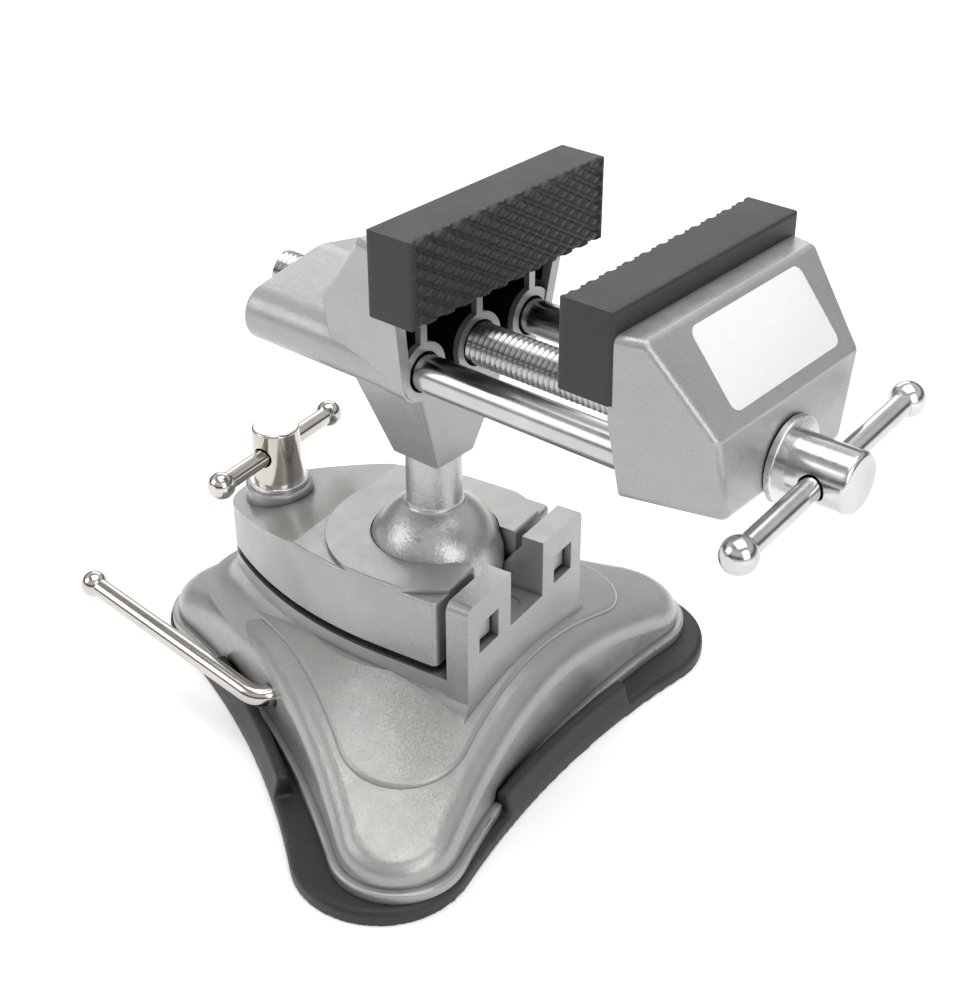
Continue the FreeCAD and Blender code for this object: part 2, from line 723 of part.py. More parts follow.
def barrel():
    """Rear barrel: the hull of the two rod tubes and the larger screw boss."""
    lean = (barrel_mid_radius - rod_tube_radius) / rod_spread
    rise = math.sqrt(1 - lean**2)

    def rim(y, radius, side, up):
        return V(barrel_rear_x, y + side * lean * radius, rod_height + up * rise * radius)

    top_mid_right = rim(0, barrel_mid_radius, 1, 1)
    top_right = rim(rod_spread, rod_tube_radius, 1, 1)
    low_right = rim(rod_spread, rod_tube_radius, 1, -1)
    low_mid_right = rim(0, barrel_mid_radius, 1, -1)
    low_mid_left = rim(0, barrel_mid_radius, -1, -1)
    low_left = rim(-rod_spread, rod_tube_radius, -1, -1)
    top_left = rim(-rod_spread, rod_tube_radius, -1, 1)
    top_mid_left = rim(0, barrel_mid_radius, -1, 1)
    crown = V(barrel_rear_x, 0, rod_height + barrel_mid_radius)
    keel = V(barrel_rear_x, 0, rod_height - barrel_mid_radius)
    right = V(barrel_rear_x, rod_spread + rod_tube_radius, rod_height)
    left = V(barrel_rear_x, -rod_spread - rod_tube_radius, rod_height)
    wire = Part.Wire([
        Part.LineSegment(top_mid_right, top_right).toShape(),
        Part.Arc(top_right, right, low_right).toShape(),
        Part.LineSegment(low_right, low_mid_right).toShape(),
        Part.Arc(low_mid_right, keel, low_mid_left).toShape(),
        Part.LineSegment(low_mid_left, low_left).toShape(),
        Part.Arc(low_left, left, top_left).toShape(),
        Part.LineSegment(top_left, top_mid_left).toShape(),
        Part.Arc(top_mid_left, crown, top_mid_right).toShape(),
    ])
    solid = Part.Face(wire).extrude(V(-barrel_rear_x, 0, 0))
    return rounded(solid, barrel_edge_round, lambda e: e.BoundBox.XMax < barrel_rear_x + edge_round)


def neck():
    """Inverted pyramid that carries the jaw on the stem."""
    def ring(half_x, half_y, z):
        points = [V(-half_x, -half_y, z), V(half_x, -half_y, z), V(half_x, half_y, z),
                  V(-half_x, half_y, z)]
        return Part.makePolygon(points + [points[0]])
    solid = Part.makeLoft([ring(neck_foot_x, stem_radius, stem_top),
                           ring(neck_top_x, neck_top_y, neck_top)], True, True)
    return rounded(solid, neck_round, lambda e: e.BoundBox.ZLength > edge_round * 2)


def fixed_jaw():
    floor = rod_height - fixed_floor_drop
    block = jaw_block(fixed_ledge, fixed_halves, fixed_foot_taper, floor, fixed_foot_round)
    lean = prism([
        V(-fixed_ledge - cut_over, -jaw_width, jaw_pad_bottom),
        V(-fixed_ledge, -jaw_width, jaw_pad_bottom),
        V(-fixed_ledge + fixed_ledge_lean, -jaw_width, floor - cut_over),
        V(-fixed_ledge - cut_over, -jaw_width, floor - cut_over),
    ], V(0, jaw_width * 2, 0))
    rebate = box(-fixed_ledge - cut_over, 0, -jaw_width, jaw_width, jaw_pad_bottom, jaw_top + cut_over)
    body = block.cut([lean, rebate, jaw_hollow(fixed_ledge, fixed_halves, fixed_foot_taper, floor)])
    body = body.mirror(V(0, 0, 0), V(1, 0, 0))
    body.translate(V(fixed_back_x, 0, 0))
    tube_front = fixed_pad_front_x - tube_front_set
    body = body.fuse([barrel(), neck()] + jaw_tubes(0, tube_front))
    start = barrel_rear_x - cut_over
    mouth = tube_front - tube_mouth_depth
    bores = []
    for y, radius in ((-rod_spread, rod_radius), (0, screw_radius), (rod_spread, rod_radius)):
        bores.append(rod_between(V(start, y, rod_height), V(fixed_pad_front_x, y, rod_height),
                                 radius + slide_gap))
        bores.append(rod_between(V(mouth, y, rod_height), V(fixed_pad_front_x, y, rod_height),
                                 radius + tube_mouth_gap))
    bores.append(Part.makeCylinder(spigot_radius + slide_gap, spigot_length + run_gap,
                                   V(0, 0, stem_top)))
    return body.cut(bores)


def movable_jaw():
    floor = rod_height - moving_floor_drop
    block = jaw_block(moving_ledge, moving_halves, moving_foot_taper, floor, moving_foot_round)
    rebate = box(-moving_ledge - cut_over, 0, -jaw_width, jaw_width, jaw_pad_bottom,
                 jaw_top + cut_over)
    body = block.cut([rebate, jaw_hollow(moving_ledge, moving_halves, moving_foot_taper, floor)])
    body = body.fuse([tube.common(block) for tube in jaw_tubes(-moving_ledge, jaw_rear_depth)])
    inner_face = jaw_rear_depth - jaw_rear_wall
    start = -moving_ledge - cut_over
    cuts = [
        rod_between(V(start, 0, rod_height), V(inner_face, 0, rod_height),
                    screw_clip_radius + run_gap),
        rod_between(V(start, 0, rod_height), V(jaw_rear_depth + cut_over, 0, rod_height),
                    journal_radius + slide_gap),
    ]
    for side in (-1, 1):
        cuts.append(rod_between(V(start, side * rod_spread, rod_height),
                                V(jaw_rear_depth - rod_socket_end, side * rod_spread, rod_height),
                                rod_radius))
    body = body.cut(cuts)
    body.translate(V(moving_back_x, 0, 0))
    return body


def jaw_pad(front_x, back_x):
    low = min(front_x, back_x)
    pad = box(low, low + jaw_pad_thick, -jaw_half, jaw_half, jaw_pad_bottom, jaw_pad_top)
    return rounded(pad, jaw_pad_round, lambda e: True)


def guide_rod(side):
    y = side * rod_spread
    rod = rod_between(V(rod_rear_x, y, rod_height),
                      V(jaw_rear_x - rod_socket_end, y, rod_height), rod_radius)
    return rod.makeChamfer(edge_round, edges_where(rod, lambda e: e.BoundBox.XLength < edge_round))


def lead_screw_parts():
    def at(x):
        return V(x, 0, rod_height)
    inner_face = jaw_rear_x - jaw_rear_wall
    clip_back = inner_face - run_gap
    clip_front = clip_back - screw_clip_thick
    thread = rod_between(at(screw_rear_x), at(clip_front - screw_clip_thick), screw_radius)
    thread = thread.makeChamfer(screw_tip_chamfer, edges_where(
        thread, lambda e: e.BoundBox.XMax < screw_rear_x + edge_round))
    journal = rod_between(at(clip_front - screw_clip_thick), at(hub_face_x), journal_radius)
    hub = rod_between(at(hub_face_x), at(hub_face_x + screw_hub_length), screw_hub_radius)
    hub = rounded(hub, hub_end_round, lambda e: e.BoundBox.XMin > hub_face_x + edge_round
                  and e.BoundBox.XLength < edge_round)
    groove = rod_between(at(clip_front), at(clip_back), journal_radius + cut_over).cut(
        rod_between(at(clip_front), at(clip_back), journal_radius - clip_groove_depth))
    tilt = math.radians(handle_tilt)
    direction = V(0, math.cos(tilt), math.sin(tilt))
    centre = at(handle_x)
    hole = rod_between(centre - direction * screw_hub_radius * 2,
                       centre + direction * screw_hub_radius * 2, handle_bar_radius + bar_hole_gap)
    screw = thread.fuse([journal, hub]).cut([groove, hole])
    washer = rod_between(at(jaw_rear_x), at(hub_face_x), screw_washer_radius)
    washer = rounded(washer, edge_round / 2, lambda e: e.BoundBox.XMin > jaw_rear_x + edge_round / 2)
    washer = washer.cut(rod_between(at(jaw_rear_x - edge_round), at(hub_face_x + edge_round),
                                    journal_radius + slide_gap))
    clip = rod_between(at(clip_front), at(clip_back), screw_clip_radius).cut(
        rod_between(at(clip_front), at(clip_back), journal_radius - clip_groove_depth))
    shaft, near, far = bar(centre, direction, handle_bar_span, handle_bar_radius, handle_bar_ball)
    return {
        "lead_screw": screw, "screw_washer": washer, "screw_clip": clip, "handle_bar": shaft,
        "handle_bar_ball_near": near, "handle_bar_ball_far": far,
    }


def lever_parts():
    up = math.radians(lever_arm_up_angle)
    corner = on_shaft(lever_corner)
    arm = shaft_out * lever_arm_out + shaft_across * (lever_arm_across * math.cos(up))
    arm = arm + V(0, 0, lever_arm_across * math.sin(up))
    reach = arm.Length
    arm.normalize()
    turn = math.acos(shaft_out.dot(arm))
    cut_back = lever_bend_radius * math.tan(turn / 2)
    start = on_shaft(-shaft_inner_end)
    bend_in = corner - shaft_out * cut_back
    bend_out = corner + arm * cut_back
    bisector = arm - shaft_out
    bisector.normalize()
    bend_centre = corner + bisector * (lever_bend_radius / math.cos(turn / 2))
    bend_mid = bend_centre - bisector * lever_bend_radius
    neck_end = corner + arm * (reach + lever_ball_radius * bar_neck_share / 2)
    path = Part.Wire([
        Part.LineSegment(start, bend_in).toShape(),
        Part.Arc(bend_in, bend_mid, bend_out).toShape(),
        Part.LineSegment(bend_out, corner + arm * (reach - lever_ball_radius * bar_neck_share)).toShape(),
    ])
    section = Part.Wire(Part.Circle(start, shaft_out, shaft_radius).toShape())
    rod = path.makePipeShell([section], True, True)
    rod = rod.fuse(rod_between(bend_out, neck_end, shaft_radius * bar_neck_share))
    tip = corner + arm * reach
    ball = Part.makeSphere(lever_ball_radius, tip)
    flat_start = tip + arm * (lever_ball_radius * ball_flat_share)
    ball = ball.cut(rod_between(flat_start, flat_start + arm * lever_ball_radius, lever_ball_radius))
    ball = ball.cut(rod)
    half = shaft_out * (cam_thick / 2)
    middle = on_shaft(0)
    cam_middle = middle - V(0, 0, cam_throw)
    cam = rod_between(cam_middle - half, cam_middle + half, cam_radius)
    cam = cam.cut(rod_between(middle - half * 2, middle + half * 2, shaft_radius))
    clip_at = -pillar_set - pillar_thick - run_gap
    clip = rod_between(on_shaft(clip_at - shaft_clip_thick), on_shaft(clip_at), shaft_clip_radius)
    clip = clip.cut(rod_between(on_shaft(clip_at - shaft_clip_thick * 2),
                                on_shaft(clip_at + shaft_clip_thick), shaft_radius))
    return {
        "lever_rod": local(rod), "lever_ball": local(ball), "lever_cam": local(cam),
        "lever_clip": local(clip),
    }


def lift_parts():
    plate_low = pad_thick - pad_recess_depth + run_gap
    plate_high = plate_low + lift_plate_thick
    plate = Part.makeCylinder(lift_plate_radius, lift_plate_thick, base_centre + V(0, 0, plate_low))
    plate = plate.cut(Part.makeCylinder(yoke_foot_radius, cut_over * 2,
                                        base_centre + V(0, 0, plate_low - edge_round)))
    room_half = cam_radius + cam_throw + yoke_gap
    cam_height = shaft_height - cam_throw
    room_low = cam_height - cam_radius - yoke_gap
    room_high = cam_height + cam_radius + yoke_gap
    outer = room_half + yoke_side
    half = cam_thick / 2
    yoke = box(-half, half, -outer, outer, plate_high, room_high + yoke_top)
    yoke = rounded(yoke, yoke_side, lambda e: (
        e.BoundBox.XLength > half and e.BoundBox.ZMin > room_low))
    yoke = yoke.cut(box(-cam_thick, cam_thick, -room_half, room_half, room_low, room_high))
    yoke.rotate(V(0, 0, 0), V(0, 0, 1), shaft_angle)
    yoke.translate(base_centre)
    foot = Part.makeCylinder(yoke_foot_radius, lift_plate_thick + edge_round,
                             base_centre + V(0, 0, plate_low))
    return {"pad_plate": local(plate), "lift_yoke": local(yoke.fuse(foot))}


def build():
    os.makedirs("parts", exist_ok=True)
    save("suction_pad", suction_pad())
    save("base_casting", base_casting())
    save("clamp_plate", clamp_plate())
    save("ball_stem", ball_stem())
    save("fixed_jaw", fixed_jaw())
    save("movable_jaw", movable_jaw())
    save("fixed_jaw_pad", jaw_pad(fixed_pad_front_x, fixed_back_x))
    save("movable_jaw_pad", jaw_pad(moving_front_x, moving_back_x))
    save("guide_rod_near", guide_rod(-1))
    save("guide_rod_far", guide_rod(1))
    for group in (clamp_screw_parts(), lead_screw_parts(), lever_parts(), lift_parts()):
        for name, shape in group.items():
            save(name, shape)


build()
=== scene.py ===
import bmesh
import bpy
import math
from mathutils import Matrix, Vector


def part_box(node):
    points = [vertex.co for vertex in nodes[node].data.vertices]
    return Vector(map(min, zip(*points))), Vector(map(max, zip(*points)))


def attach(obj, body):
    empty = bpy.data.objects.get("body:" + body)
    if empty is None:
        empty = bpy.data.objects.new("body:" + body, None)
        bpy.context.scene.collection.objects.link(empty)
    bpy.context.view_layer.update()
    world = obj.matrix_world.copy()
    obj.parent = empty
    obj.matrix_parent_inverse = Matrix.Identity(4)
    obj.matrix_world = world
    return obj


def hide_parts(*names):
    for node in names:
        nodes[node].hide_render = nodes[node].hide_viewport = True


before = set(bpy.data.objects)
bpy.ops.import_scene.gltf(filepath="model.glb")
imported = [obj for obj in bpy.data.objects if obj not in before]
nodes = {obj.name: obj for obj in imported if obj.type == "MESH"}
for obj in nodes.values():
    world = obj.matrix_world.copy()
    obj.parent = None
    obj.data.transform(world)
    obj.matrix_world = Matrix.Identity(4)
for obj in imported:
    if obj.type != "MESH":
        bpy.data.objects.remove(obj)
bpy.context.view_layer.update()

MM = 0.001

# The photograph's camera, fitted to the picture
eye = Vector((276.03, -306.52, 327.83)) * MM
camera_azimuth = math.radians(39.95)
camera_elevation = math.radians(31.59)
focal_px = 1703.0
picture_px = (973, 1000)
sensor_mm = 36.0
clip_near = 0.01
clip_far = 20.0

# Jaw pads: half a lozenge along and up the jaw, the grooves between, and the rounded edges
knurl_half_width = 3.36 * MM
knurl_half_height = 1.96 * MM
knurl_groove = 0.22 * MM
knurl_slope = 0.80 * MM
knurl_depth = 0.85 * MM
knurl_margin = 1.1 * MM
knurl_step_y = knurl_half_width / 12
knurl_step_z = knurl_half_height / 8
pad_corner = 0.9 * MM
pad_corner_angles = (0, 22, 42, 60, 76)
pad_rim = 2.1 * MM
pad_smooth_angle = 50.0
weld_distance = 0.001 * MM

# Suction pad's softened skin
rubber_voxel = 0.5 * MM
rubber_soften = 0.5
rubber_soften_rounds = 10
rubber_thinning = 0.3

# Lead screw: its axis, the thread (share of a turn and radius of each line), its start and end
rod_height = 129.4 * MM
thread_crest = 5.85 * MM
thread_root = 4.75 * MM
thread_pitch = 1.75 * MM
thread_segments = 40
thread_profile = (
    (0.0, thread_root),
    (0.06, thread_root),
    (0.44, thread_crest),
    (0.56, thread_crest),
    (0.94, thread_root),
)
thread_tip_share = 0.55
thread_tip_turns = 1.5
thread_smooth_angle = 60.0
screw_shoulder = 101.7 * MM
hub_smooth_angle = 30.0

# Label on the moving jaw's slope: the slope's line, the label's edges, and its layers
# (how far in from the outline, how high over the slope)
slope_top = Vector((92.7, 0.0, 166.7)) * MM
slope_foot = Vector((109.8, 0.0, 145.9)) * MM
label_low_y = -20.6 * MM
label_high_y = 24.9 * MM
label_start = 2.1 * MM
label_end = 23.4 * MM
label_corner = 2.6 * MM
label_corner_steps = 8
label_thick = 0.12 * MM
label_layers = ((0.0, -label_thick / 2), (0.0, label_thick * 0.7), (label_thick, label_thick))
label_smooth_angle = 30.0

# Dark places painted into the colour: a dark rim round the lever's shaft and the gap under the
# clamp plate, both painted shade, and the inside of the moving jaw as two boxes, bare casting made
# near black by painted shade
shaft_start = Vector((-7.04, -0.94, 18.7)) * MM
shaft_heading = math.radians(-112.4)
shaft_direction = Vector((math.cos(shaft_heading), math.sin(shaft_heading), 0.0))
shaft_rim = 3.75 * MM
plate_gap_low = 39.55 * MM
plate_gap_high = 42.82 * MM
plate_gap_reach = 4.0 * MM
plate_gap_shelter = 0.72
jaw_hollow_boxes = (
    ((-6.3 * MM, -27.2 * MM, 125.5 * MM), (15.2 * MM, 27.2 * MM, 137.0 * MM)),
    ((-5.0 * MM, -29.2 * MM, 137.0 * MM), (15.2 * MM, 29.2 * MM, 149.0 * MM)),
)
painted_gap_shade = (0.008, 0.008, 0.008)
hollow_bare_and_shade = (0.012, 0.012, 0.013)
shaft_rim_shade = (0.02, 0.018, 0.016)

# Noise textures: scale, which is repeats in a metre, then detail and roughness
paint_grain = (3400.0, 1.0, 0.5)
paint_cloud = (40.0, 3.0, 0.5)
paint_gloss = (240.0, 3.0, 0.5)
paint_peel = (420.0, 3.0, 0.55)
ball_grain = (2600.0, 2.0, 0.6)
ball_rubs = (110.0, 4.0, 0.65)
ball_dents = (230.0, 3.0, 0.55)
rubber_bloom = (90.0, 5.0, 0.6)
rubber_speck = (2300.0, 1.0, 0.5)
rubber_grain = (1700.0, 3.0, 0.6)
metal_marks = (900.0, 3.0, 0.6)
metal_stain = (70.0, 3.0, 0.5)
label_fibre = (800.0, 2.0, 0.5)
label_waves = (90.0, 2.0, 0.5)

# Parts of a noise that a blend or a roughness is spread over
noise_middle = (0.3, 0.7)
paint_middle = (0.35, 0.65)
marks_middle = (0.25, 0.75)
bloom_range = (0.35, 0.7)
speck_range = (0.6, 0.75)
rubs_range = (0.62, 0.74)

# Creases, where painted shade is laid into the colour: reach, and the openness that is spread from
# dark to clear
crease_samples = 8
paint_corner_reach = 3.0 * MM
paint_corner_range = (0.3, 0.9)
paint_corner_shade = 0.62
paint_slit_reach = 2.5 * MM
paint_slit_range = (0.26, 0.56)
rubber_corner_reach = 2.0 * MM
rubber_corner_range = (0.40, 0.98)
rubber_corner_shade = 0.3
thread_groove_reach = 1.2 * MM
thread_groove_range = (0.35, 0.95)
thread_groove_shade = 0.15

# Shares of grain and cloud in the paint's colour, its metallic flakes, and heights of bumps
paint_grain_share = 0.6
paint_cloud_share = 0.4
paint_flake_scale = 3800.0
paint_flake_tilt = 0.19
ball_flake_scale = 3400.0
ball_flake_tilt = 0.17
paint_peel_height = 0.010 * MM
ball_dent_height = 0.05 * MM
rubber_grain_height = 0.14 * MM
label_wave_height = 0.01 * MM

# Roughness from low to high; a metal's own is spread by shares of it
paint_roughness = (0.31, 0.43)
ball_roughness = (0.28, 0.38)
rubber_roughness = (0.46, 0.56)
metal_roughness_shares = (0.7, 1.3)

# Colours, dark and light, where a material has one pair
ball_silvers = ((0.42, 0.42, 0.415), (0.54, 0.54, 0.535))
ball_rubbed = (0.22, 0.22, 0.22)
rubber_blacks = ((0.012, 0.0123, 0.0130), (0.023, 0.0237, 0.025))
rubber_speck_gain = 1.35
steels = ((0.44, 0.44, 0.435), (0.56, 0.56, 0.55))
label_whites = ((0.79, 0.796, 0.81), (0.82, 0.825, 0.835))
drawn_along_rod = (0.12, 1.0, 1.0)

# Floor: half its side, its glow from near to far, and the distances of the two
floor_half = 3.0
floor_glow = (0.36, 0.8)
floor_glow_distances = (0.3, 1.1)

# Studio in reflections: share of the height from straight down to straight up, and brightness
studio_bands = (
    (0.0, 0.75),
    (0.07, 0.50),
    (0.17, 0.08),
    (0.30, 0.12),
    (0.44, 0.70),
    (0.68, 0.80),
    (0.88, 0.30),
    (1.0, 0.40),
)
studio_grey = (0.36, 0.36, 0.37)
studio_white = (1.0, 1.0, 1.0)

# Lamps: name, place, point that it faces, width and height, watts
soft_lamps = (
    ("overhead_softbox", (0.05, 0.10, 1.15), (0.0, 0.0, 0.08), (1.0, 1.0), 8.5),
    ("back_softbox", (-0.72, 0.80, 0.62), (0.0, 0.0, 0.10), (0.9, 0.6), 2.6),
    ("front_left_softbox", (-0.75, -0.85, 0.75), (0.0, 0.0, 0.08), (0.7, 0.7), 3.2),
    ("right_softbox", (0.95, -0.25, 0.6), (0.02, 0.0, 0.1), (0.6, 0.8), 4.2),
)


# ---- Helpers for node materials ----
def feed(tree, node, values):
    """Fill a node's inputs with plain values, colours or other nodes' outputs."""
    for key, value in values.items():
        socket = node.inputs[key]
        if isinstance(value, bpy.types.NodeSocket):
            tree.links.new(value, socket)
        elif socket.type == "RGBA":
            socket.default_value = (*value, 1.0)
        else:
            socket.default_value = value


def add_node(tree, kind, values):
    node = tree.nodes.new(kind)
    feed(tree, node, values)
    return node


def new_material(name):
    """A material with its Principled shader and output, and its Object coordinates."""
    mat = bpy.data.materials.new(name)
    mat.use_nodes = True
    tree = mat.node_tree
    place = tree.nodes.new("ShaderNodeTexCoord").outputs["Object"]
    return mat, tree, tree.nodes["Principled BSDF"], place


def maths(tree, kind, first, second):
    node = add_node(tree, "ShaderNodeMath", {0: first, 1: second})
    node.operation = kind
    return node.outputs[0]


def vector_maths(tree, kind, first, second=(0.0, 0.0, 0.0), output="Vector"):
    node = add_node(tree, "ShaderNodeVectorMath", {0: first, 1: second})
    node.operation = kind
    return node.outputs[output]


def coordinates(tree, place):
    """The x, y and z of a place."""
    return add_node(tree, "ShaderNodeSeparateXYZ", {0: place}).outputs


def noise(tree, place, texture, stretch=None):
    scale, detail, roughness = texture
    if stretch:
        mapping = add_node(tree, "ShaderNodeMapping", {"Vector": place, "Scale": stretch})
        place = mapping.outputs["Vector"]
    values = {"Vector": place, "Scale": scale, "Detail": detail, "Roughness": roughness}
    return add_node(tree, "ShaderNodeTexNoise", values).outputs["Fac"]


def spread(tree, value, source, target=(0.0, 1.0)):
    """Map a value from the source range to the target range, held at the ends."""
    node = add_node(tree, "ShaderNodeMapRange", {
        "Value": value,
        "From Min": source[0],
        "From Max": source[1],
        "To Min": target[0],
        "To Max": target[1],
    })
    return node.outputs["Result"]


def blend_colours(tree, factor, first, second):
    """Mix two colours. A Mix node's sockets 6, 7 and output 2 are the ones for colour."""
    node = tree.nodes.new("ShaderNodeMix")
    node.data_type = "RGBA"
    feed(tree, node, {"Factor": factor, 6: first, 7: second})
    return node.outputs[2]


def scaled(colour, factor):
    return tuple(channel * factor for channel in colour)


def bump(tree, height, distance, normal=None):
    values = {"Height": height, "Distance": distance, "Strength": 1.0}
    node = add_node(tree, "ShaderNodeBump", values)
    if normal:
        feed(tree, node, {"Normal": normal})
    return node.outputs["Normal"]


def flake_normal(tree, place, scale, tilt):
    """Normals of small metallic flakes, each tilted its own way."""
    cells = add_node(tree, "ShaderNodeTexVoronoi", {"Scale": scale, "Vector": place})
    centred = vector_maths(tree, "SUBTRACT", cells.outputs["Color"], (0.5, 0.5, 0.5))
    lean = vector_maths(tree, "MULTIPLY", centred, (tilt, tilt, tilt))
    face = tree.nodes.new("ShaderNodeNewGeometry").outputs["Normal"]
    return vector_maths(tree, "NORMALIZE", vector_maths(tree, "ADD", face, lean))


def creases(tree, reach):
    """Openness: 0 in tight corners, 1 on open faces."""
    node = add_node(tree, "ShaderNodeAmbientOcclusion", {"Distance": reach})
    node.samples = crease_samples
    return node.outputs["AO"]


def between(tree, value, low, high):
    """1 where a value lies between low and high, 0 elsewhere."""
    above = maths(tree, "GREATER_THAN", value, low)
    below = maths(tree, "LESS_THAN", value, high)
    return maths(tree, "MULTIPLY", above, below)


def inside_box(tree, place, low, high):
    """1 inside a box of the row frame, 0 outside it."""
    x, y, z = (between(tree, *limits) for limits in zip(coordinates(tree, place), low, high))
    return maths(tree, "MULTIPLY", maths(tree, "MULTIPLY", x, y), z)


def near_ray(tree, place, start, direction, radius):
    """1 within a radius of a ray, 0 outside it and behind its start."""
    offset = vector_maths(tree, "SUBTRACT", place, start)
    swing = vector_maths(tree, "CROSS_PRODUCT", offset, direction)
    distance = vector_maths(tree, "LENGTH", swing, output="Value")
    along = vector_maths(tree, "DOT_PRODUCT", offset, direction, output="Value")
    ahead = maths(tree, "GREATER_THAN", along, 0.0)
    close = maths(tree, "LESS_THAN", distance, radius)
    return maths(tree, "MULTIPLY", ahead, close)


def shade_under_plate(tree, place):
    """1 in the sheltered gap under the clamp plate, where painted shade goes, 0 elsewhere."""
    level = between(tree, coordinates(tree, place)["Z"], plate_gap_low, plate_gap_high)
    sheltered = maths(tree, "LESS_THAN", creases(tree, plate_gap_reach), plate_gap_shelter)
    return maths(tree, "MULTIPLY", level, sheltered)


# ---- Materials ----
def silver_paint(name, dark, light, bare_shaded_boxes=(), shaded_rim_rays=()):
    """Metallic paint over a casting, with painted shade in corners and gaps; the boxes are bare
    casting made near black by painted shade, and round the rays painted shade makes a dark rim.
    """
    mat, tree, shader, place = new_material(name)
    grain = spread(tree, noise(tree, place, paint_grain), paint_middle, (0.0, paint_grain_share))
    cloud = spread(tree, noise(tree, place, paint_cloud), paint_middle, (0.0, paint_cloud_share))
    colour = blend_colours(tree, maths(tree, "ADD", grain, cloud), dark, light)
    # Painted shade: the colour darkens in corners
    clear = spread(tree, creases(tree, paint_corner_reach), paint_corner_range)
    colour = blend_colours(tree, clear, scaled(dark, paint_corner_shade), colour)
    # Painted shade: near black in narrow gaps
    clear = spread(tree, creases(tree, paint_slit_reach), paint_slit_range)
    colour = blend_colours(tree, clear, painted_gap_shade, colour)
    # Painted shade: near black in the gap under the clamp plate
    colour = blend_colours(tree, shade_under_plate(tree, place), colour, painted_gap_shade)
    # Bare casting inside the hollow, made near black by painted shade as well
    for box in bare_shaded_boxes:
        colour = blend_colours(tree, inside_box(tree, place, *box), colour, hollow_bare_and_shade)
    # Painted shade: a dark rim round the lever's shaft where it enters the base
    for ray in shaded_rim_rays:
        colour = blend_colours(tree, near_ray(tree, place, *ray), colour, shaft_rim_shade)
    gloss = noise(tree, place, paint_gloss)
    peel = noise(tree, place, paint_peel)
    flakes = flake_normal(tree, place, paint_flake_scale, paint_flake_tilt)
    feed(tree, shader, {
        "Base Color": colour,
        "Metallic": 0.5,
        "Roughness": spread(tree, gloss, noise_middle, paint_roughness),
        "Coat Weight": 0.5,
        "Coat Roughness": 0.15,
        "Normal": bump(tree, peel, paint_peel_height, flakes),
        "Coat Normal": bump(tree, peel, paint_peel_height),
    })
    return mat


def ball_paint():
    """Rougher silver on the ball: coarse grain, dents and a few rubbed spots."""
    mat, tree, shader, place = new_material("ball_silver_paint")
    grain = noise(tree, place, ball_grain)
    colour = blend_colours(tree, spread(tree, grain, noise_middle), *ball_silvers)
    rubbed = spread(tree, noise(tree, place, ball_rubs), rubs_range)
    flakes = flake_normal(tree, place, ball_flake_scale, ball_flake_tilt)
    feed(tree, shader, {
        "Base Color": blend_colours(tree, rubbed, colour, ball_rubbed),
        "Metallic": 0.75,
        "Roughness": spread(tree, grain, noise_middle, ball_roughness),
        "Coat Weight": 0.35,
        "Coat Roughness": 0.16,
        "Normal": bump(tree, noise(tree, place, ball_dents), ball_dent_height, flakes),
    })
    return mat


def rubber():
    """Moulded black rubber with a fine matt grain, a dusting of bloom, and painted shade in its
    corners and grooves.
    """
    mat, tree, shader, place = new_material("black_rubber")
    dark, light = rubber_blacks
    bloom = spread(tree, noise(tree, place, rubber_bloom), bloom_range)
    speck = spread(tree, noise(tree, place, rubber_speck), speck_range)
    colour = blend_colours(tree, bloom, dark, light)
    colour = blend_colours(tree, speck, colour, scaled(light, rubber_speck_gain))
    # Painted shade: the colour darkens in the knurl's grooves and the pads' corners
    clear = spread(tree, creases(tree, rubber_corner_reach), rubber_corner_range)
    feed(tree, shader, {
        "Base Color": blend_colours(tree, clear, scaled(dark, rubber_corner_shade), colour),
        "Roughness": spread(tree, bloom, (0.0, 1.0), rubber_roughness),
        "Specular IOR Level": 0.48,
        "Sheen Weight": 0.04,
        "Sheen Roughness": 0.5,
        "Normal": bump(tree, noise(tree, place, rubber_grain), rubber_grain_height),
    })
    return mat


def metal(name, dark, light, roughness, mark_height, stretch=None, groove_reach=0.0):
    """Bright metal with fine marks, drawn out if stretched, and painted shade in its grooves if
    given a reach.
    """
    mat, tree, shader, place = new_material(name)
    marks = noise(tree, place, metal_marks, stretch)
    stain = spread(tree, noise(tree, place, metal_stain), noise_middle)
    colour = blend_colours(tree, stain, dark, light)
    # Painted shade: darker in the thread's grooves
    if groove_reach:
        clear = spread(tree, creases(tree, groove_reach), thread_groove_range)
        colour = blend_colours(tree, clear, scaled(dark, thread_groove_shade), colour)
    roughness_range = scaled(metal_roughness_shares, roughness)
    feed(tree, shader, {
        "Base Color": colour,
        "Metallic": 1.0,
        "Roughness": spread(tree, marks, marks_middle, roughness_range),
        "Normal": bump(tree, marks, mark_height),
    })
    return mat


def label_vinyl():
    """Blank white label with a soft gloss."""
    mat, tree, shader, place = new_material("white_label")
    fibre = spread(tree, noise(tree, place, label_fibre), noise_middle)
    feed(tree, shader, {
        "Base Color": blend_colours(tree, fibre, *label_whites),
        "Roughness": 0.32,
        "Coat Weight": 0.3,
        "Normal": bump(tree, noise(tree, place, label_waves), label_wave_height),
    })
    return mat


